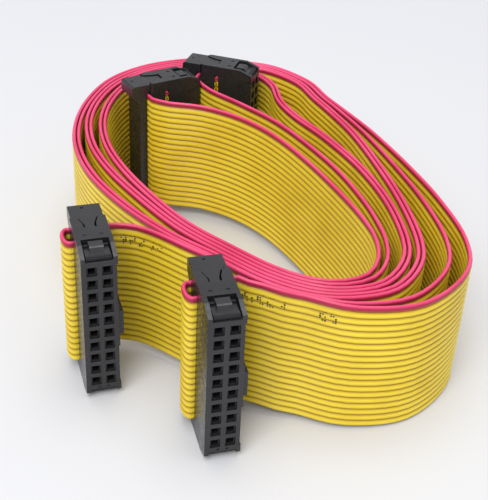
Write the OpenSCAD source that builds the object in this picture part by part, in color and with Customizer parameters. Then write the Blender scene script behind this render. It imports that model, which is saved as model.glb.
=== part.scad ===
// A pair of flat ribbon cables with a socket at every end, wound together into one loose oval
// coil that stands on its edge. Millimetres; +Z is up and the table is z = 0.

/* [Ribbon] */
// Number of conductors in each ribbon
ways = 20; // [10:2:40]
// Distance between neighbouring conductors
wire_pitch = 1.27; // [1:0.01:1.3]
// Thickness of a ribbon over its insulation
ribbon_t = 0.8; // [0.7:0.05:1]
// Distance between layers where the coil is pressed together
layer_gap = 0.92; // [0.9:0.01:1.2]

/* [Socket] */
// Distance between neighbouring contacts
contact_pitch = 2.54; // [2:0.01:2.54]
// Overall length along the two rows
socket_l = 30; // [28:0.1:34]
// Width across the two rows
socket_w = 6.1; // [5.8:0.1:7]
// Depth of the housing, from the mating face to the cover
housing_d = 8.2; // [7:0.1:9]
// How deep the bed of the ribbon is sunk into the back of the housing
bed_d = 0.55; // [0.2:0.05:1.2]
// Thickness of the cover between the two passes of the ribbon
cover_t = 3.35; // [2:0.05:4]
// Depth of the whole socket with its strain relief
socket_d = 16.2; // [15:0.1:18]
// Side of a square contact cavity
cavity = 1.2; // [0.9:0.05:1.4]
// Side of the square lead-in at the mouth of a cavity
lead_in = 1.7; // [1.2:0.05:2]
// How far the polarising key stands out of the long side
key_h = 0.8; // [0.4:0.1:1.2]
// Length of the polarising key along the socket
key_l = 4.7; // [3:0.1:6]

/* [Strain relief] */
// Width of the strain relief across the socket
relief_w = 5.6; // [4:0.1:6]
// Thickness of its long bar
relief_bar = 1.7; // [1:0.1:2.5]
// Clearance all round its end tongues
tongue_gap = 0.3; // [0.1:0.05:0.4]

/* [Routes] */
// Gap at the mouth of a front socket, where its lead bends as the socket swings
flex_gap = 0.3; // [0.2:0.05:0.6]
// Points drawn between two stations of a route
steps = 3; // [2:1:6]

/* [Hidden] */
$fn = 24;
e = 0.01;

wires_h = (ways - 1) * wire_pitch;
ribbon_w = ways * wire_pitch;
rows = ways / 2;

// Depths inside a socket, from the mating face: the pierced pass, the cover bar, the clamped pass
bed_u = housing_d - bed_d;
pierced_u = bed_u + 0.05 + ribbon_t / 2;
cover_lo = bed_u + ribbon_t + 0.1;
cover_hi = cover_lo + cover_t;
clamped_u = cover_hi + 0.05 + ribbon_t / 2;
relief_lo = cover_hi + ribbon_t + 0.1;
// The fold stands fold_out clear of the cover and swells between its two passes
fold_out = 1.4;
fold_swell = 0.3;
side = socket_w / 2;
mouth = side + flex_gap;
ribbon_z = (socket_l - ribbon_w) / 2;
// Both ends of a socket: end plate, sloped shoulder, window and the cover's leg and latch
end_t = 2.2;
slope_u = 2.8;
slope_z = 1.05;
window_w = 4.6;
window_d = 4.5;
window_z = 1.75;
leg_w = 4.2;
leg_lo = 0.95;
leg_hi = 1.65;
latch_w = 2.4;
recess_z = 1.6;

// Moves the whole object so that the middle of its outline is at the origin
centre = [-0.73, 0.35];

// Each socket stands on one end: x and y of the middle of its mating face, then its turn
front_left = [-26.5, -38, 14];
front_right = [-6.3, -53.5, 12];
inner_left = [-11, 35.5, 118];
inner_right = [2.7, 37.2, 70];

// One lap of the innermost layer, clockwise from the right-hand end of the oval
guide = [
  [20.8, -25], [20.3, -31], [17.8, -35.8], [13.5, -37.8], [8.5, -37.4], [2.5, -34.2], [-4.5, -28],
  [-12, -20.5], [-18.9, -10.4], [-24.6, 0.2], [-28.2, 10.2], [-29.5, 20], [-28.5, 29.6],
  [-25.2, 38.2], [-18.8, 44.7], [-10, 48.1], [-2.5, 47.5], [3.2, 44.8], [6.5, 39], [7.5, 31],
  [10, 23], [13.5, 13], [17, 0], [19.7, -13]
];
lap = len(guide);
// The laps open out along the left-hand side. Each row is one lap, the columns are the stations
// from 4 to 16
opening = [
  [0, 0, 0, 0, 0, 0, 0, 0, 0, 0, 0, 0, 0],
  [0, 0, 0, 0, 0.2, 0.7, 1, 1, 0.7, 0.4, 0.2, 0.1, 0.1],
  [0, 0, 0, 0.8, 2.1, 2.6, 2.1, 1.3, 0.7, 0.5, 0.3, 0.2, 0.2],
  [0, 0, 0, 0, 0, 0, 0, 0, 0, 0, 0, 0, 0]
];
// The right-hand side bulges. Each row is one pass. The columns are the stations from 17 on,
// then 0 to 3 of the next lap
bulge = [
  [0, 0, 0, 0, 0, 0, 0, 0, 0, 0, 0],
  [0, 0, 0, 0.5, 2.4, 4.4, 5, 4.8, 4, 3, 2.2],
  [3.6, 6.2, 8.2, 8.8, 8.8, 8.2, 7.6, 7.2, 6.4, 5.2, 4],
  [5.6, 8.3, 10.4, 11.2, 11.6, 11.9, 12.3, 12.6, 11.6, 9.2, 6.8]
];
// Extra room between the two cables on the same passes
parting = [
  [0, 0, 0, 0, 0, 0, 0, 0.8, 0.6, 0.4, 0.2],
  [0, 0, 0, 0, 0, 0, 0, 0, 0, 0, 0],
  [0, 0, 0, 0, 0, 0, 0, 0, 0, 0, 0],
  [0, 0, 0, 0.2, 0.8, 1.6, 2.2, 2.6, 2.4, 1.4, 0.5]
];
first_bulge = 17;
last_bulge = 3;

// Leads, from the socket's mouth to the coil
inner_left_way = [
  [-16, 23.8], [-9, 22.5], [-1.5, 18.5], [5, 12], [11, 2], [16.6, -10.5], [19.8, -19.5]
];
inner_right_way = [[-7.5, 31], [-1, 24.5], [6, 17], [12, 7.5], [17, -2.5], [20.5, -13], [22, -20]];
front_left_way = [[-21, -25.4], [-17, -27.6], [-13, -30.5], [-7.5, -34.3], [-2, -38.5], [2.7, -41.2]];
front_right_way = [[-2.5, -41.4], [0, -42], [3, -43]];
// Stations of the coil over which a front lead still climbs to its socket
front_climb = 3;

charcoal = [0.2, 0.2, 0.21];
gold = [0.8, 0.65, 0.3];
yellow = [0.92, 0.8, 0.2];
pink = [0.91, 0.28, 0.5];

// A point w across and u behind the mating face of the socket at s
function at(s, w, u) = [
  s[0] + w * cos(s[2]) - u * sin(s[2]),
  s[1] + w * sin(s[2]) + u * cos(s[2])
];

function unit(v) = v / norm(v);
function outward(t) = unit([-t[1], t[0]]);

// How far cable c lies outside the guide at station k
function spread(k, c) =
  let (i = k % lap, n = floor(k / lap), early = i <= last_bulge)
  let (pass = early ? n : n + 1, j = (early ? lap : 0) + i - first_bulge)
  j < 0
    ? (2 * n + c) * layer_gap + opening[n][i - last_bulge - 1]
    : bulge[pass][j] + c * (layer_gap + parting[pass][j]);

function station(k, c) =
  guide[k % lap] + outward(guide[(k + 1) % lap] - guide[(k + lap - 1) % lap]) * spread(k, c);

function reversed(v) = [for (i = [len(v) - 1 : -1 : 0]) v[i]];

// The stations of cable c, from the inner socket to the front one, with one more point at each
// end to set the direction
last_station = 3 * lap + last_bulge + 1;
function route(c, inner, inner_way, front, front_way) = concat(
  [at(inner, -side + 2, clamped_u), at(inner, -side, clamped_u), at(inner, -side - 1.5, clamped_u)],
  inner_way,
  [for (k = [0 : last_station]) station(k, c)],
  reversed(front_way),
  [at(front, mouth + 1.5, clamped_u), at(front, mouth, clamped_u), at(front, mouth - 2, clamped_u)]
);
route_1 = route(0, inner_left, inner_left_way, front_left, front_left_way);
route_2 = route(1, inner_right, inner_right_way, front_right, front_right_way);

function between(a, b, c, d, t) =
  (2 * b + (c - a) * t + (2 * a - 5 * b + 4 * c - d) * t * t + (3 * b - a - 3 * c + d) * t * t * t) / 2;

// Smooth points through the stations of r, with the outermost ones left at the two ends
function smooth(r) = concat(
  [r[0]],
  [for (i = [1 : len(r) - 3], s = [0 : steps - 1]) between(r[i - 1], r[i], r[i + 1], r[i + 2], s / steps)],
  [r[len(r) - 2], r[len(r) - 1]]
);

// A point off to the left of p at its point i
function beside(p, i, off) = p[i] + outward(p[i + 1] - p[i - 1]) * off;

// A flat strip on its edge along points a to b of p
module strip(p, a, b, z0, z1) {
  translate([0, 0, z0])
    linear_extrude(z1 - z0)
      polygon(concat(
        [for (i = [a : b]) beside(p, i, ribbon_t / 2)],
        [for (i = [b : -1 : a]) beside(p, i, -ribbon_t / 2)]
      ));
}

// The same strip, lifted by up[i - a] at point i
module lifted_strip(p, a, b, up, z0, z1) {
  n = b - a + 1;
  l = [for (i = [a : b]) beside(p, i, ribbon_t / 2)];
  r = [for (i = [a : b]) beside(p, i, -ribbon_t / 2)];
  rings = [for (i = [0 : n - 1]) each [
    [l[i][0], l[i][1], z0 + up[i]], [r[i][0], r[i][1], z0 + up[i]],
    [r[i][0], r[i][1], z1 + up[i]], [l[i][0], l[i][1], z1 + up[i]]
  ]];
  sides = [for (i = [0 : n - 2], s = [0 : 3]) each [
    [4 * i + s, 4 * i + (s + 1) % 4, 4 * i + 4 + (s + 1) % 4],
    [4 * i + s, 4 * i + 4 + (s + 1) % 4, 4 * i + 4 + s]
  ]];
  caps = [[3, 2, 1, 0], [4 * n - 4, 4 * n - 3, 4 * n - 2, 4 * n - 1]];
  polyhedron(rings, concat(sides, caps));
}

function ease(t) = t <= 0 ? 0 : t >= 1 ? 1 : t * t * (3 - 2 * t);
// Lift along the n points of a lead, level for its first points
function lift(n, level) = [for (i = [0 : n - 1]) ribbon_z * (1 - ease((i - level) / (n - 1 - level)))];

points_1 = smooth(route_1);
points_2 = smooth(route_2);
last_1 = len(points_1) - 2;
last_2 = len(points_2) - 2;

// Points where the leads meet the coil
inner_end_1 = 1 + (2 + len(inner_left_way)) * steps;
inner_end_2 = 1 + (2 + len(inner_right_way)) * steps;
front_start_1 = last_1 - (2 + len(front_left_way) + front_climb) * steps;
front_start_2 = last_2 - (2 + len(front_right_way) + front_climb) * steps;

module centred() {
  translate([centre[0], centre[1], 0]) children();
}

module coil(p, a, b, z0, z1) centred() strip(p, a, b, z0, z1);
module inner_lead(p, b, z0, z1) centred() lifted_strip(p, 1, b, lift(b, 2 * steps), z0, z1);
module front_lead(p, a, z0, z1) {
  last = len(p) - 2;
  centred() lifted_strip(p, a, last, reversed(lift(last - a + 1, steps)), z0, z1);
}

// ---- one socket, standing on its end: x across, y from the mating face, z along the rows ----

module both_ends() {
  children();
  translate([0, 0, socket_l]) mirror([0, 0, 1]) children();
}

module along_x(w) {
  translate([-w / 2, 0, 0])
    rotate([90, 0, 90])
      linear_extrude(w)
        children();
}

module box_at(x, y, z) {
  translate([x[0], y[0], z[0]]) cube([x[1] - x[0], y[1] - y[0], z[1] - z[0]]);
}

module each_cavity() {
  for (i = [0 : rows - 1], s = [-1, 1])
    translate([s * contact_pitch / 2, 0, socket_l / 2 + (i - (rows - 1) / 2) * contact_pitch])
      children();
}

module housing() {
  color(charcoal) difference() {
    union() {
      along_x(socket_w)
        polygon([
          [0, slope_z], [slope_u, 0], [housing_d, 0], [housing_d, end_t], [bed_u, end_t],
          [bed_u, socket_l - end_t], [housing_d, socket_l - end_t], [housing_d, socket_l],
          [slope_u, socket_l], [0, socket_l - slope_z]
        ]);
      // Polarising key
      box_at([side - e, side + key_h], [0.6, 6.6], [(socket_l - key_l) / 2, (socket_l + key_l) / 2]);
    }
    each_cavity() {
      translate([-cavity / 2, -1, -cavity / 2]) cube([cavity, housing_d + 2, cavity]);
      translate([-lead_in / 2, -1, -lead_in / 2]) cube([lead_in, 1.35, lead_in]);
    }
    both_ends() {
      // Window for the latch, and the channel of the cover's leg behind it
      box_at([-window_w / 2, window_w / 2], [-1, window_d], [-1, window_z]);
      box_at([-leg_w / 2 - 0.1, leg_w / 2 + 0.1], [window_d - 1, housing_d + 1], [0.8, 1.9]);
      // Moulding marks on the end plate
      for (s = [-1, 1])
        translate([s * 1.4, 5.7, -1]) cylinder(d = 0.7, h = 1.12);
      // Corner notches at the ends of the key side
      box_at([side - 0.3, side + 1], [-1, 1.6], [2.6, 3.2]);
      box_at([side - 0.2, side + 1], [-1, 3], [3.2, (socket_l - key_l) / 2 - 2]);
    }
    // Two dimples under the last row
    for (s = [-1, 1])
      translate([s * 0.75, -1, 2.25]) rotate([-90, 0, 0]) cylinder(d = 0.5, h = 1.15);
  }
}

// Twenty twin-beam contacts
module contacts() {
  root = bed_u - 1.4;
  color(gold) each_cavity() {
    translate([-0.55, root, -0.55]) cube([1.1, bed_u - root, 1.1]);
    for (s = [-1, 1])
      translate([s * 0.45 - 0.1, 2.4, -0.4]) cube([0.2, root - 2.3, 0.8]);
  }
}

// Outline of the recess in the end of the cover, made smaller all round by gap for the tongue in it
module tongue_outline(gap) {
  right = [[1.1, housing_d - e + gap], [1.15, 9.4], [1.8, 11.3], [2.4, 11.75], [2.4, cover_hi + 0.2]];
  points = [for (p = right) [p[0] - gap, p[1]]];
  others = [for (p = reversed(points)) [-p[0], p[1]]];
  polygon(concat(points, others));
}

module cover() {
  color(charcoal) {
    box_at([-side, side], [cover_lo, cover_hi], [end_t - e, socket_l - end_t + e]);
    both_ends() {
      difference() {
        box_at([-side, side], [housing_d, cover_hi], [0, end_t]);
        translate([0, 0, -1]) linear_extrude(recess_z + 1) tongue_outline(0);
        // Bevels at the outer corners
        for (s = [-1, 1])
          translate([s * side, cover_hi, -1])
            rotate([0, 0, 45])
              translate([-0.35, -0.35, 0])
                cube([0.7, 0.7, 4]);
      }
      // Leg that holds the cover on the housing, with its front bar, latch and ears
      box_at([-leg_w / 2, leg_w / 2], [0.5, housing_d + e], [leg_lo, leg_hi]);
      along_x(leg_w)
        polygon([[0.4, 1.15], [1.1, 0.85], [1.1, leg_hi], [0.4, leg_hi]]);
      along_x(latch_w)
        polygon([[1.8, leg_lo + e], [2.2, 0.35], [2.5, 0.2], [4.1, 0.2], [4.1, leg_lo + e]]);
      for (s = [-1, 1])
        translate([s * 1.7, 0, 0]) box_at([-0.4, 0.4], [3.3, 3.7], [0.6, leg_lo + e]);
    }
  }
}

module relief() {
  bar = relief_lo + relief_bar;
  step = socket_d - bar;
  plate_u = cover_hi + 0.1;
  color(charcoal) {
    difference() {
      along_x(relief_w)
        polygon([
          [plate_u, 0.2], [socket_d - 0.4, 0.2], [socket_d, 0.6], [socket_d, 2.6], [bar, 2.6 + step],
          [bar, socket_l - 2.6 - step], [socket_d, socket_l - 2.6], [socket_d, socket_l - 0.6],
          [socket_d - 0.4, socket_l - 0.2], [plate_u, socket_l - 0.2], [plate_u, socket_l - 2],
          [relief_lo, socket_l - 2], [relief_lo, 2], [plate_u, 2]
        ]);
      // Gate mark at each end
      both_ends()
        translate([-0.4, socket_d - 1.4, -1]) cylinder(d = 0.55, h = 1.4);
    }
    both_ends()
      translate([0, 0, 0.2]) linear_extrude(recess_z - 0.45) tongue_outline(tongue_gap);
  }
}

// The ribbon inside a socket: pierced pass, fold round the cover, clamped pass
module fold(z0, z1, s) {
  turns = 8;
  middle = (clamped_u + pierced_u) / 2;
  half = (clamped_u - pierced_u) / 2;
  p = concat(
    [[side + 1, pierced_u], [side - 0.05, pierced_u]],
    [for (i = [0 : turns]) let (a = 180 * i / turns)
      [-side - 0.05 - fold_out * sin(a), middle - half * cos(a) * (1 + fold_swell * sin(a))]],
    [[side, clamped_u], [side + 1, clamped_u]]
  );
  mirror([s < 0 ? 1 : 0, 0, 0]) strip(p, 1, len(p) - 2, ribbon_z + z0, ribbon_z + z1);
}

module place(s) {
  centred() translate([s[0], s[1], 0]) rotate([0, 0, s[2]]) children();
}
// An inner socket is turned end over end, so that its ribbon leaves on the other side
module turned() {
  translate([0, 0, socket_l]) rotate([0, 180, 0]) children();
}

module front_left_housing() place(front_left) housing();
module front_left_contacts() place(front_left) contacts();
module front_left_cover() place(front_left) cover();
module front_left_relief() place(front_left) relief();
module front_left_fold() color(yellow) place(front_left) fold(0, wires_h, 1);
module front_left_fold_edge() color(pink) place(front_left) fold(wires_h, ribbon_w, 1);
module front_left_lead() color(yellow) front_lead(points_1, front_start_1, 0, wires_h);
module front_left_lead_edge() color(pink) front_lead(points_1, front_start_1, wires_h, ribbon_w);

module front_right_housing() place(front_right) housing();
module front_right_contacts() place(front_right) contacts();
module front_right_cover() place(front_right) cover();
module front_right_relief() place(front_right) relief();
module front_right_fold() color(yellow) place(front_right) fold(0, wires_h, 1);
module front_right_fold_edge() color(pink) place(front_right) fold(wires_h, ribbon_w, 1);
module front_right_lead() color(yellow) front_lead(points_2, front_start_2, 0, wires_h);
module front_right_lead_edge() color(pink) front_lead(points_2, front_start_2, wires_h, ribbon_w);

module inner_left_housing() place(inner_left) turned() housing();
module inner_left_contacts() place(inner_left) turned() contacts();
module inner_left_cover() place(inner_left) turned() cover();
module inner_left_relief() place(inner_left) turned() relief();
module inner_left_fold() color(yellow) place(inner_left) fold(0, wires_h, -1);
module inner_left_fold_edge() color(pink) place(inner_left) fold(wires_h, ribbon_w, -1);
module inner_left_lead() color(yellow) inner_lead(points_1, inner_end_1, 0, wires_h);
module inner_left_lead_edge() color(pink) inner_lead(points_1, inner_end_1, wires_h, ribbon_w);

module inner_right_housing() place(inner_right) turned() housing();
module inner_right_contacts() place(inner_right) turned() contacts();
module inner_right_cover() place(inner_right) turned() cover();
module inner_right_relief() place(inner_right) turned() relief();
module inner_right_fold() color(yellow) place(inner_right) fold(0, wires_h, -1);
module inner_right_fold_edge() color(pink) place(inner_right) fold(wires_h, ribbon_w, -1);
module inner_right_lead() color(yellow) inner_lead(points_2, inner_end_2, 0, wires_h);
module inner_right_lead_edge() color(pink) inner_lead(points_2, inner_end_2, wires_h, ribbon_w);

module cable_1_ribbon() color(yellow) coil(points_1, inner_end_1, front_start_1, 0, wires_h);
module cable_1_edge() color(pink) coil(points_1, inner_end_1, front_start_1, wires_h, ribbon_w);
module cable_2_ribbon() color(yellow) coil(points_2, inner_end_2, front_start_2, 0, wires_h);
module cable_2_edge() color(pink) coil(points_2, inner_end_2, front_start_2, wires_h, ribbon_w);

front_left_housing();
front_left_contacts();
front_left_cover();
front_left_relief();
front_left_fold();
front_left_fold_edge();
front_left_lead();
front_left_lead_edge();
front_right_housing();
front_right_contacts();
front_right_cover();
front_right_relief();
front_right_fold();
front_right_fold_edge();
front_right_lead();
front_right_lead_edge();
inner_left_housing();
inner_left_contacts();
inner_left_cover();
inner_left_relief();
inner_left_fold();
inner_left_fold_edge();
inner_left_lead();
inner_left_lead_edge();
inner_right_housing();
inner_right_contacts();
inner_right_cover();
inner_right_relief();
inner_right_fold();
inner_right_fold_edge();
inner_right_lead();
inner_right_lead_edge();
cable_1_ribbon();
cable_1_edge();
cable_2_ribbon();
cable_2_edge();
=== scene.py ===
import math
import random

import bmesh
import bpy
from mathutils import Matrix, Vector


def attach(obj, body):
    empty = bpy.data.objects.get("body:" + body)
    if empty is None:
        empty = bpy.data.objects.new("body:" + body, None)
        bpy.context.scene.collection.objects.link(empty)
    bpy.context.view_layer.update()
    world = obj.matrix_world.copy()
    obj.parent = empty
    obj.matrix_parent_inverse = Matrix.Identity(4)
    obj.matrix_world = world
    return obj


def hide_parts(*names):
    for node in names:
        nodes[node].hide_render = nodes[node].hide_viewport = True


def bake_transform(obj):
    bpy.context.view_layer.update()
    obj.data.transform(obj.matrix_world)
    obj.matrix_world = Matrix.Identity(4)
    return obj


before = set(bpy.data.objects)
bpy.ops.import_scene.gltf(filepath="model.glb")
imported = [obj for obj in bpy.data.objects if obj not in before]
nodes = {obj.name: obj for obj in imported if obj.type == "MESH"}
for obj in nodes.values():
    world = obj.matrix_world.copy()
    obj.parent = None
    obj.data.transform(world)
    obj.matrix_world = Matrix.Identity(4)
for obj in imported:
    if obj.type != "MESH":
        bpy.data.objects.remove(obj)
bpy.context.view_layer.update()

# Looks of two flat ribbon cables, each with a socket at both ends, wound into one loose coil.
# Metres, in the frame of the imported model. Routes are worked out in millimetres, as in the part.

MM = 0.001


# ---- camera ----

def look(azimuth, down, roll):
    """A camera's turn: azimuth clockwise from +Y, then down, then roll, in degrees."""
    a, d, r = (math.radians(x) for x in (azimuth, down, roll))
    forward = Vector((math.sin(a) * math.cos(d), math.cos(a) * math.cos(d), -math.sin(d)))
    right = Vector((math.cos(a), -math.sin(a), 0))
    up = right.cross(forward)
    right, up = math.cos(r) * right + math.sin(r) * up, math.cos(r) * up - math.sin(r) * right
    return Matrix((right, up, -forward)).transposed().to_4x4()


camera = bpy.data.objects.new("camera", bpy.data.cameras.new("camera"))
bpy.context.scene.collection.objects.link(camera)
camera.matrix_world = Matrix.Translation((-0.0143, -0.1774, 0.1226)) @ look(4.2, 33.2, 2.96)
camera.data.lens = 75
camera.data.sensor_width = 36
camera.data.clip_start = 0.01
bpy.context.scene.camera = camera
bpy.context.scene.view_settings.view_transform = "Standard"


# ---- materials ----

# Places of the colour sockets in a Mix node, which has one set of sockets for each kind of data
MIX_A, MIX_B, MIX_RESULT = 6, 7, 2


class Nodes:
    """A material with its Principled shader, and short ways to add nodes to it."""

    def __init__(self, name, **values):
        self.material = bpy.data.materials.new(name)
        self.material.use_nodes = True
        self.tree = self.material.node_tree
        self.shader = self.tree.nodes["Principled BSDF"]
        for socket, value in values.items():
            self.shader.inputs[socket.replace("_", " ")].default_value = value
        self.place = self.add("ShaderNodeTexCoord").outputs["Object"]

    def add(self, kind, **settings):
        node = self.tree.nodes.new(kind)
        for name, value in settings.items():
            setattr(node, name, value)
        return node

    def link(self, source, target):
        self.tree.links.new(source, target)

    def noise(self, scale, detail=3.0, roughness=0.5, stretch=(1, 1, 1)):
        scaled = self.add("ShaderNodeMapping")
        scaled.inputs["Scale"].default_value = stretch
        self.link(self.place, scaled.inputs["Vector"])
        node = self.add("ShaderNodeTexNoise")
        node.inputs["Scale"].default_value = scale
        node.inputs["Detail"].default_value = detail
        node.inputs["Roughness"].default_value = roughness
        self.link(scaled.outputs["Vector"], node.inputs["Vector"])
        return node.outputs["Fac"]

    def spread(self, value, low, high, low_in=0.3, high_in=0.7):
        node = self.add("ShaderNodeMapRange")
        limits = {"From Min": low_in, "From Max": high_in, "To Min": low, "To Max": high}
        for socket, number in limits.items():
            node.inputs[socket].default_value = number
        self.link(value, node.inputs["Value"])
        return node.outputs["Result"]

    def ramp(self, value, *stops):
        node = self.add("ShaderNodeValToRGB")
        points = node.color_ramp.elements
        while len(points) < len(stops):
            points.new(1.0)
        for point, (position, colour) in zip(points, stops):
            point.position = position
            point.color = (*colour, 1.0)
        self.link(value, node.inputs["Fac"])
        return node.outputs["Color"]

    def colour(self, source):
        self.link(source, self.shader.inputs["Base Color"])

    def roughness(self, source):
        self.link(source, self.shader.inputs["Roughness"])

    def bump(self, *heights):
        """Each height is a value and the depth in metres that it stands for."""
        normal = None
        for value, depth in heights:
            node = self.add("ShaderNodeBump")
            node.inputs["Strength"].default_value = 1.0
            node.inputs["Distance"].default_value = depth
            self.link(value, node.inputs["Height"])
            if normal is not None:
                self.link(normal, node.inputs["Normal"])
            normal = node.outputs["Normal"]
        self.link(normal, self.shader.inputs["Normal"])


def insulation(name, dark, plain, light, painted_valley_shade):
    """Satin PVC: faint colour clouds, dust-fine grain and a slightly uneven gloss.

    The mesh's own rib values, from 0 at the bottom of a groove to 1 on a crown, bring in a darker
    colour towards 0: painted shade in the grooves.
    """
    m = Nodes(name, IOR=1.5, Specular_IOR_Level=0.38)
    clouds = m.ramp(m.noise(90, 4), (0.3, dark), (0.5, plain), (0.72, light))
    # Painted shade: a darker colour mixed in where the rib value is low, in the grooves and on the
    # pink wire's sides.
    mix = m.add("ShaderNodeMix", data_type="RGBA")
    rib = m.add("ShaderNodeAttribute", attribute_name="rib").outputs["Fac"]
    m.link(m.spread(rib, 0, 1, 0.05, 0.92), mix.inputs["Factor"])
    mix.inputs[MIX_A].default_value = (*painted_valley_shade, 1)
    m.link(clouds, mix.inputs[MIX_B])
    m.colour(mix.outputs[MIX_RESULT])
    m.roughness(m.spread(m.noise(260, 2), 0.3, 0.46))
    m.bump((m.noise(700, 2), 0.00003), (m.noise(5200, 2), 0.000008))
    return m.material


def moulding(name, tone, gloss):
    """Glass-filled black plastic: fine spark grain, flow clouds and rubbed, paler patches."""
    m = Nodes(name, IOR=1.52)
    clouds = m.noise(160, 5, 0.6)
    dark, light = [0.8 * c for c in tone], [1.35 * c for c in tone]
    m.colour(m.ramp(clouds, (0.28, dark), (0.55, tone), (0.8, light)))
    m.roughness(m.spread(m.noise(900, 4), gloss - 0.07, gloss + 0.12))
    m.bump((m.noise(1500, 3), 0.00002), (m.noise(6500, 2), 0.000012))
    return m.material


def metal(name, dark, light):
    """Flashed contact metal with drawn lines along the beam."""
    m = Nodes(name, Metallic=1.0)
    m.colour(m.ramp(m.noise(500, 4), (0.3, dark), (0.7, light)))
    m.roughness(m.spread(m.noise(1200, 3, stretch=(1, 1, 0.2)), 0.22, 0.42))
    m.bump((m.noise(2500, 2, stretch=(1, 1, 0.2)), 0.00001))
    return m.material


def ink(name, dark, light, rough):
    m = Nodes(name)
    m.colour(m.ramp(m.noise(1800, 2), (0.35, dark), (0.65, light)))
    m.roughness(m.spread(m.noise(2400, 2), rough - 0.1, rough + 0.1))
    return m.material


# Both insulations carry painted shade: their darker colours darken the grooves between conductors
# and the pink wire's sides.
yellow = insulation(
    "yellow_insulation", (0.77, 0.555, 0.028), (0.86, 0.645, 0.04), (0.90, 0.70, 0.055),
    painted_valley_shade=(0.30, 0.155, 0.001),
)
pink = insulation(
    "pink_insulation", (0.66, 0.042, 0.13), (0.76, 0.06, 0.17), (0.82, 0.09, 0.22),
    painted_valley_shade=(0.36, 0.014, 0.05),
)
socket_plastic = moulding("socket_plastic", (0.016, 0.016, 0.019), 0.27)
cover_plastic = moulding("cover_plastic", (0.019, 0.019, 0.022), 0.27)
relief_plastic = moulding("relief_plastic", (0.018, 0.018, 0.021), 0.28)
# Painted shade: a near-black, matt plastic for the socket cavities and the cover's leg in its
# window, where they lie in shade.
painted_shade_plastic = moulding("painted_shade_plastic", (0.006, 0.006, 0.007), 0.6)
copper = metal("copper_core", (0.30, 0.14, 0.05), (0.62, 0.34, 0.16))
contact_metal = metal("contact_metal", (0.50, 0.33, 0.10), (0.78, 0.58, 0.24))
black_ink = ink("black_ink", (0.015, 0.010, 0.003), (0.05, 0.033, 0.008), 0.5)


# ---- routes, with the same numbers as the part ----

WIRES = 20
WIRE_PITCH = 1.27
RIBBON_T = 0.8
RIBBON_W = WIRES * WIRE_PITCH
WIRES_H = RIBBON_W - WIRE_PITCH
SOCKET_L = 30
RIBBON_Z = (SOCKET_L - RIBBON_W) / 2
CONTACT_PITCH, LEAD_IN = 2.54, 1.7
LATCH_W, LATCH_LO, WINDOW_D = 2.4, 1.75, 4.5
SIDE = 3.05
MOUTH = SIDE + 0.3
PIERCED_U, CLAMPED_U = 8.1, 12.35
FOLD_OUT, FOLD_SWELL = 1.4, 0.3
LAYER_GAP = 0.92
CENTRE = Vector((-0.73, 0.35))

# x and y of the middle of the mating face, then its turn
SOCKETS = {
    "front_left": (-26.5, -38, 14),
    "front_right": (-6.3, -53.5, 12),
    "inner_left": (-11, 35.5, 118),
    "inner_right": (2.7, 37.2, 70),
}
GUIDE = [
    (20.8, -25), (20.3, -31), (17.8, -35.8), (13.5, -37.8), (8.5, -37.4), (2.5, -34.2), (-4.5, -28),
    (-12, -20.5), (-18.9, -10.4), (-24.6, 0.2), (-28.2, 10.2), (-29.5, 20), (-28.5, 29.6),
    (-25.2, 38.2), (-18.8, 44.7), (-10, 48.1), (-2.5, 47.5), (3.2, 44.8), (6.5, 39), (7.5, 31),
    (10, 23), (13.5, 13), (17, 0), (19.7, -13),
]
OPENING = [
    [0, 0, 0, 0, 0, 0, 0, 0, 0, 0, 0, 0, 0],
    [0, 0, 0, 0, 0.2, 0.7, 1, 1, 0.7, 0.4, 0.2, 0.1, 0.1],
    [0, 0, 0, 0.8, 2.1, 2.6, 2.1, 1.3, 0.7, 0.5, 0.3, 0.2, 0.2],
    [0, 0, 0, 0, 0, 0, 0, 0, 0, 0, 0, 0, 0],
]
BULGE = [
    [0, 0, 0, 0, 0, 0, 0, 0, 0, 0, 0],
    [0, 0, 0, 0.5, 2.4, 4.4, 5, 4.8, 4, 3, 2.2],
    [3.6, 6.2, 8.2, 8.8, 8.8, 8.2, 7.6, 7.2, 6.4, 5.2, 4],
    [5.6, 8.3, 10.4, 11.2, 11.6, 11.9, 12.3, 12.6, 11.6, 9.2, 6.8],
]
PARTING = [
    [0, 0, 0, 0, 0, 0, 0, 0.8, 0.6, 0.4, 0.2],
    [0, 0, 0, 0, 0, 0, 0, 0, 0, 0, 0],
    [0, 0, 0, 0, 0, 0, 0, 0, 0, 0, 0],
    [0, 0, 0, 0.2, 0.8, 1.6, 2.2, 2.6, 2.4, 1.4, 0.5],
]
FIRST_BULGE, LAST_BULGE = 17, 3
WAYS = {
    "inner_left": [
        (-16, 23.8), (-9, 22.5), (-1.5, 18.5), (5, 12), (11, 2), (16.6, -10.5), (19.8, -19.5),
    ],
    "inner_right": [
        (-7.5, 31), (-1, 24.5), (6, 17), (12, 7.5), (17, -2.5), (20.5, -13), (22, -20),
    ],
    "front_left": [
        (-21, -25.4), (-17, -27.6), (-13, -30.5), (-7.5, -34.3), (-2, -38.5), (2.7, -41.2),
    ],
    "front_right": [(-2.5, -41.4), (0, -42), (3, -43)],
}
# Stations at the coil's end, next to each front lead, over which the ribbon already climbs
FRONT_CLIMB = 3
# Straight passes of the ribbon inside a socket, from its middle
PASS_NEAR, PASS_FAR = 1.0, 1.2
# Straight stretch of a lead, inside and outside its socket's side
LEAD_INSIDE, LEAD_OUTSIDE = 2, 1.5
FOLD_TURNS = 12
# Length of ribbon between two rings
RING_STEP = 2.3


def at(socket, w, u):
    """A point w across and u behind the middle of a socket's mating face."""
    x, y, turn = SOCKETS[socket]
    a = math.radians(turn)
    return Vector((x + w * math.cos(a) - u * math.sin(a), y + w * math.sin(a) + u * math.cos(a)))


def outward(t):
    return Vector((-t[1], t[0])).normalized()


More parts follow.
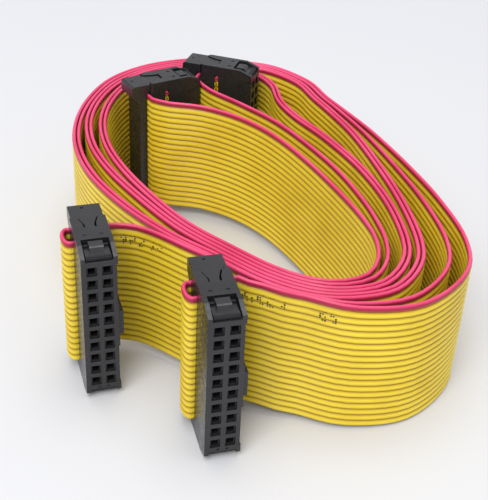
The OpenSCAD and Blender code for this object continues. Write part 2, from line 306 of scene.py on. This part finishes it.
def spread_at(k, c):
    """How far cable c lies outside the guide at station k."""
    i, lap = k % len(GUIDE), k // len(GUIDE)
    early = i <= LAST_BULGE
    row, column = (lap, len(GUIDE) + i) if early else (lap + 1, i)
    column -= FIRST_BULGE
    if column < 0:
        return (2 * lap + c) * LAYER_GAP + OPENING[lap][i - LAST_BULGE - 1]
    return BULGE[row][column] + c * (LAYER_GAP + PARTING[row][column])


def station(k, c):
    n = len(GUIDE)
    a, b = Vector(GUIDE[(k - 1) % n]), Vector(GUIDE[(k + 1) % n])
    return Vector(GUIDE[k % n]) + outward(b - a) * spread_at(k, c)


def between(a, b, c, d, t):
    """A point from b to c on the smooth curve through a, b, c and d."""
    square, cube = 2 * a - 5 * b + 4 * c - d, 3 * b - a - 3 * c + d
    return (2 * b + (c - a) * t + square * t ** 2 + cube * t ** 3) / 2


def ease(t):
    t = min(1.0, max(0.0, t))
    return t * t * (3 - 2 * t)


def fold(socket, sign):
    """The ribbon in a socket: its pierced pass, the turn round the cover, its clamped pass."""
    x0 = SIDE + 0.05
    middle, half = (CLAMPED_U + PIERCED_U) / 2, (CLAMPED_U - PIERCED_U) / 2
    local = [(x0 - 0.1, PIERCED_U), (PASS_NEAR, PIERCED_U), (-PASS_FAR, PIERCED_U)]
    for i in range(FOLD_TURNS + 1):
        a = math.pi * i / FOLD_TURNS
        u = middle - half * math.cos(a) * (1 + FOLD_SWELL * math.sin(a))
        local.append((-x0 - FOLD_OUT * math.sin(a), u))
    local += [(-PASS_FAR, CLAMPED_U), (PASS_NEAR, CLAMPED_U)]
    return [(at(socket, sign * w, u), RIBBON_Z) for w, u in local]


def path(c, inner, front):
    """Cable c from its inner to its front socket: its middle, and its lower edge's height."""
    stations = 3 * len(GUIDE) + LAST_BULGE + 2
    starts = (-SIDE + LEAD_INSIDE, -SIDE, -SIDE - LEAD_OUTSIDE)
    route = [at(inner, w, CLAMPED_U) for w in starts]
    route += [Vector(p) for p in WAYS[inner]]
    route += [station(k, c) for k in range(stations)]
    route += [Vector(p) for p in reversed(WAYS[front])]
    ends = (MOUTH + LEAD_OUTSIDE, MOUTH, MOUTH - LEAD_INSIDE)
    route += [at(front, w, CLAMPED_U) for w in ends]
    last = len(route) - 2
    inner_len, front_len = 2 + len(WAYS[inner]), 2 + len(WAYS[front]) + FRONT_CLIMB

    def lift(k):
        from_inner = ease((k - 3) / (inner_len - 2))
        from_front = ease((last - k - 1) / (front_len - 1))
        return RIBBON_Z * max(1 - from_inner, 1 - from_front)

    points = fold(inner, -1)
    for i in range(1, last):
        parts = max(1, round((route[i + 1] - route[i]).length / RING_STEP))
        for s in range(parts):
            k = i + s / parts
            points.append((between(*route[i - 1:i + 3], s / parts), lift(k)))
    points.append((route[last], RIBBON_Z))
    points += list(reversed(fold(front, 1)))
    return [(p + CENTRE, z) for p, z in points]


class Run:
    """A cable's rings: each one's middle, left-hand normal, lift and distance along the cable."""

    def __init__(self, points):
        self.middle = [p for p, z in points]
        self.lift = [z for p, z in points]
        last = len(points) - 1
        self.normal = [
            outward(self.middle[min(i + 1, last)] - self.middle[max(i - 1, 0)])
            for i in range(last + 1)
        ]
        self.along = [0.0]
        for i in range(last):
            self.along.append(self.along[-1] + (self.middle[i + 1] - self.middle[i]).length)

    def point(self, i, off, z):
        p = self.middle[i] + self.normal[i] * off
        return Vector((p.x, p.y, self.lift[i] + z)) * MM

    def beside(self, s, off, z):
        """A point s along the cable, off to its left and z up it."""
        i = next(k for k in range(len(self.along) - 1) if self.along[k + 1] >= s)
        t = (s - self.along[i]) / (self.along[i + 1] - self.along[i])
        return self.point(i, off, z).lerp(self.point(i + 1, off, z), t)


def piece(name, mesh, *materials):
    o = bpy.data.objects.new(name, mesh)
    bpy.context.scene.collection.objects.link(o)
    for m in materials:
        mesh.materials.append(m)
    return o


def made(name, bm, material):
    mesh = bpy.data.meshes.new(name)
    bm.to_mesh(mesh)
    bm.free()
    return piece(name, mesh, material)


def sweep(name, run, outline, material, rib):
    """A closed outline of (off, z) points, each with a rib value that sets the painted shade,
    carried along run.
    """
    bm = bmesh.new()
    layer = bm.verts.layers.float.new("rib")
    rings = [
        [bm.verts.new(run.point(i, off, z)) for off, z in outline] for i in range(len(run.middle))
    ]
    n = len(outline)
    for ring in rings:
        for v, value in zip(ring, rib):
            v[layer] = value
    for a, b in zip(rings, rings[1:]):
        for j in range(n):
            face = bm.faces.new((a[j], a[(j + 1) % n], b[(j + 1) % n], b[j]))
            face.smooth = True
    bm.faces.new(list(reversed(rings[0])))
    bm.faces.new(rings[-1])
    bmesh.ops.recalc_face_normals(bm, faces=bm.faces)
    return made(name, bm, material)


# One rib of the ribbon: shares of the pitch, and of half the thickness
RIB = [(0.06, 0.5), (0.22, 0.82), (0.5, 1.0), (0.78, 0.82), (0.94, 0.5)]
WEB = 0.3
# The edge conductor: half its height, and the height of its middle
EDGE_HALF = 0.54
EDGE_Z = WIRES_H + WIRE_PITCH / 2
EDGE_SIDES = 16
# Printed dots: height of the lowest row, number and height of the rows, width of a column,
# the share of places that hold a dot, a dot's thickness and how deep it is sunk
MARKS_Z = 21.4
MARK_ROWS, MARK_ROW, MARK_COLUMN = 5, 0.4, 0.42
MARK_SHARE = 0.55
INK_THICK, INK_SUNK = 0.03, 0.015
# Cut cores: a disc's least radius, how much more it may be, its thickness, how far it stands out
# and how far off the conductor's middle it may lie
CORE_R, CORE_MORE, CORE_THICK, CORE_PROUD, CORE_DRIFT = 0.19, 0.03, 0.03, 0.004, 0.04


def half_thick(z):
    """Half the ribbon's thickness at height z."""
    share = z / WIRE_PITCH % 1
    knots = [(0.0, WEB)] + RIB + [(1.0, WEB)]
    for (a, ha), (b, hb) in zip(knots, knots[1:]):
        if share <= b:
            return RIBBON_T / 2 * (ha + (hb - ha) * (share - a) / (b - a))
    return RIBBON_T / 2 * WEB


def ribbon(name, run):
    """The yellow conductors of one cable, with a web between them and up to the edge wire."""
    heights = [0.02]
    for wire in range(WIRES - 1):
        heights += [(wire + share) * WIRE_PITCH for share, _ in RIB]
        heights.append((wire + 1) * WIRE_PITCH)
    left = [(half_thick(z), z) for z in heights] + [(0.1, EDGE_Z - 0.7 * EDGE_HALF)]
    outline = left + [(-off, z) for off, z in reversed(left)]
    # Rib values for the painted shade: 0 in the web between conductors, 1 on their crowns.
    share = [2 * off / RIBBON_T for off, z in left]
    rib = [max(0.0, (t - WEB) / (1 - WEB)) for t in share]
    return sweep(name, run, outline, yellow, rib + rib[::-1])


def edge_wire(name, run):
    """The pink conductor along the upper edge."""
    turns = [2 * math.pi * i / EDGE_SIDES for i in range(EDGE_SIDES)]
    outline = [(RIBBON_T / 2 * math.cos(a), EDGE_Z + EDGE_HALF * math.sin(a)) for a in turns]
    # Rib values for the painted shade: darkest on the wire's sides across the ribbon, lightest at
    # its top and bottom.
    return sweep(name, run, outline, pink, [1 - abs(math.cos(a)) ** 3 for a in turns])


def discs(name, spots, material, sides=10):
    """Thin discs in one mesh: each spot is a middle, two half axes and a thickness."""
    bm = bmesh.new()
    for middle, u, v, thick in spots:
        up = u.cross(v).normalized() * thick
        rim = []
        for level in (0.0, 1.0):
            rim.append([])
            for i in range(sides):
                a = 2 * math.pi * i / sides
                around = u * math.cos(a) + v * math.sin(a)
                rim[-1].append(bm.verts.new(middle + around + up * level))
        low, high = rim
        for i in range(sides):
            j = (i + 1) % sides
            bm.faces.new((low[i], low[j], high[j], high[i]))
        bm.faces.new(high)
        bm.faces.new(list(reversed(low)))
    return made(name, bm, material)


def wire_ends(socket, sign, body):
    """The cut copper cores at the end of the ribbon, flush with the side of its socket."""
    rng = random.Random(socket)
    start = at(socket, sign * (SIDE - 0.05), PIERCED_U) + CENTRE
    out = (at(socket, sign, 0) - at(socket, 0, 0)).to_3d()
    across = Vector((-out.y, out.x, 0))
    spots = []
    for wire in range(WIRES):
        z = RIBBON_Z + (wire + 0.5) * WIRE_PITCH
        r = CORE_R + CORE_MORE * rng.random()
        middle = Vector((start.x, start.y, z)) + across * rng.uniform(-CORE_DRIFT, CORE_DRIFT)
        up = Vector((0, 0, 1))
        turn = across.cross(up).dot(out)
        u, v = (across, up) if turn > 0 else (up, across)
        spots.append(((middle + out * CORE_PROUD) * MM, u * r * MM, v * r * MM, CORE_THICK * MM))
    o = discs(socket + "_wire_ends", spots, copper)
    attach(o, body)


def print_marks(name, run, groups, seed):
    """Small printed dots near the upper edge. Each group is a start and an end along run."""
    rng = random.Random(seed)
    spots = []
    for start, end in groups:
        s = start
        while s < end:
            columns = rng.choice((1, 2, 3, 3))
            for column in range(columns):
                for row in range(MARK_ROWS):
                    if rng.random() > MARK_SHARE:
                        continue
                    z = MARKS_Z + MARK_ROW * row
                    here = s + MARK_COLUMN * column
                    p = run.beside(here, half_thick(z), z)
                    along = (run.beside(here + 0.1, half_thick(z), z) - p).normalized()
                    rise = (run.beside(here, half_thick(z + 0.05), z + 0.05) - p).normalized()
                    out = run.beside(here, 1, z) - run.beside(here, 0, z)
                    r = rng.uniform(0.14, 0.21) * MM
                    u, v = (rise, along) if rise.cross(along).dot(out) > 0 else (along, rise)
                    sunk = p - u.cross(v) * INK_SUNK * MM
                    spots.append((sunk, u * r, v * r, INK_THICK * MM))
            s += MARK_COLUMN * columns + rng.choice((0.4, 0.5, 1.1))
    return discs(name, spots, black_ink, sides=6)


CABLES = {
    "cable_1": (0, "inner_left", "front_left"),
    "cable_2": (1, "inner_right", "front_right"),
}
# Printed groups of each cable: how far they start and end before the mouth of its front socket
MARKS = {"front_left": ((0.8, 10.5),), "front_right": ((0.8, 9.5), (15, 18))}

for cable, (c, inner, front) in CABLES.items():
    run = Run(path(c, inner, front))
    band = ribbon(cable + "_wires", run)
    edge = edge_wire(cable + "_edge_wire", run)
    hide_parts(cable + "_ribbon")
    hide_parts(cable + "_edge")
    for socket in (inner, front):
        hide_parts(socket + "_fold", socket + "_lead")
        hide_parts(socket + "_fold_edge", socket + "_lead_edge")
    mouth = at(front, SIDE, CLAMPED_U) + CENTRE
    for o in (band, edge):
        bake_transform(o)
    lead = [k for k in range(len(run.middle)) if run.lift[k] >= RIBBON_Z - 0.001]
    ends_at = min(
        (k for k in lead if k > len(run.middle) / 2),
        key=lambda k: (run.middle[k] - mouth).length,
    )
    groups = [(run.along[ends_at] - b, run.along[ends_at] - a) for a, b in MARKS[front]]
    marks = print_marks(cable + "_marks", run, groups, front)
    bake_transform(marks)
    for socket, sign in ((inner, -1), (front, 1)):
        wire_ends(socket, sign, front + "_socket" if socket == front else "coil")


# ---- sockets ----

BEVEL = 0.09
# Least angle between two faces whose edge gets rounded, in degrees
SHARP = 28
# How far behind the mating face a cavity's own faces start, and the play around them
CAVITY_U, PLAY = 0.12, 0.02


def bevelled(node, name, width, material):
    """A copy of a CAD node with its flat faces rejoined and its sharp edges rounded."""
    mesh = nodes[node].data.copy()
    mesh.name = name
    mesh.materials.clear()
    bm = bmesh.new()
    bm.from_mesh(mesh)
    bmesh.ops.remove_doubles(bm, verts=bm.verts, dist=1e-6)
    bmesh.ops.dissolve_limit(bm, angle_limit=math.radians(1), verts=bm.verts, edges=bm.edges)
    for e in bm.edges:
        e.smooth = True
    sharp = [e for e in bm.edges if e.is_manifold and e.calc_face_angle(0) > math.radians(SHARP)]
    bmesh.ops.bevel(
        bm, geom=sharp, offset=width, offset_type="OFFSET", segments=2, profile=0.5,
        affect="EDGES", clamp_overlap=True, harden_normals=False,
    )
    for f in bm.faces:
        f.smooth = False
    bm.to_mesh(mesh)
    bm.free()
    o = piece(name, mesh, material)
    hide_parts(node)
    return o


def darken(o, socket, in_painted_shade):
    """Faces for which the given test of w, u and z holds get painted shade: a near-black, matt
    plastic.

    w is across the socket, u from its mating face, z from the table.
    """
    o.data.materials.append(painted_shade_plastic)
    origin = at(socket, 0, 0) + CENTRE
    right, back = at(socket, 1, 0) - at(socket, 0, 0), at(socket, 0, 1) - at(socket, 0, 0)
    for face in o.data.polygons:
        p = face.center / MM
        flat = Vector((p.x, p.y)) - origin
        if in_painted_shade(flat.dot(right), flat.dot(back), p.z):
            face.material_index = 1


# Socket cavities, which get painted shade from the near-black plastic.
def in_cavity(w, u, z):
    row = abs((z - SOCKET_L / 2) / CONTACT_PITCH) % 1
    reach = LEAD_IN / 2 + PLAY
    across, up = abs(abs(w) - CONTACT_PITCH / 2), abs(row - 0.5) * CONTACT_PITCH
    return u > CAVITY_U and across < reach and up < reach


def on_leg(w, u, z):
    """The cover's leg in its window, without the latch that stands on it; these faces get painted
    shade.
    """
    latch = abs(w) < LATCH_W / 2 + PLAY and LATCH_LO < u < WINDOW_D
    return u < WINDOW_D and not latch


for socket in SOCKETS:
    body = socket + "_socket" if socket.startswith("front") else "coil"
    for part, finish, ride in (
        ("housing", socket_plastic, body),
        ("cover", cover_plastic, body),
        ("relief", relief_plastic, socket + "_clip"),
    ):
        o = bevelled(f"{socket}_{part}", f"{socket}_{part}_moulding", BEVEL * MM, finish)
        # Painted shade on the housing's cavities and on the cover's leg in its window.
        if part == "housing":
            darken(o, socket, in_cavity)
        if part == "cover":
            darken(o, socket, on_leg)
        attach(o, ride)
    contacts = nodes[socket + "_contacts"]
    contacts.data.materials.clear()
    contacts.data.materials.append(contact_metal)


# ---- stage ----

HALF = 3.0
floor_mesh = bpy.data.meshes.new("floor")
corners = [(-HALF, -HALF, 0), (HALF, -HALF, 0), (HALF, HALF, 0), (-HALF, HALF, 0)]
floor_mesh.from_pydata(corners, [], [(0, 1, 2, 3)])
paper = Nodes("paper", Roughness=0.75)
grey, light_grey = (0.645, 0.647, 0.67), (0.665, 0.667, 0.69)
paper.colour(paper.ramp(paper.noise(6, 2), (0.3, grey), (0.7, light_grey)))
floor = piece("floor", floor_mesh, paper.material)
floor.location.z = -0.0001


def area_light(name, place, target, size, power):
    light = bpy.data.lights.new(name, "AREA")
    light.shape = "RECTANGLE"
    light.size, light.size_y = size
    light.energy = power
    o = bpy.data.objects.new(name, light)
    bpy.context.scene.collection.objects.link(o)
    o.location = place
    o.rotation_euler = (Vector(target) - Vector(place)).to_track_quat("-Z", "Y").to_euler()


area_light("overhead", (0.0, 0.05, 0.8), (0, 0, 0), (0.5, 0.5), 2.2)
area_light("front_key", (-0.3, -0.66, 0.85), (0, 0, 0.01), (0.6, 0.6), 7.6)
world = bpy.data.worlds.new("world")
world.use_nodes = True
sky = world.node_tree.nodes["Background"].inputs
sky["Color"].default_value = (0.97, 0.98, 1.0, 1)
sky["Strength"].default_value = 0.68
bpy.context.scene.world = world

bpy.context.view_layer.update()
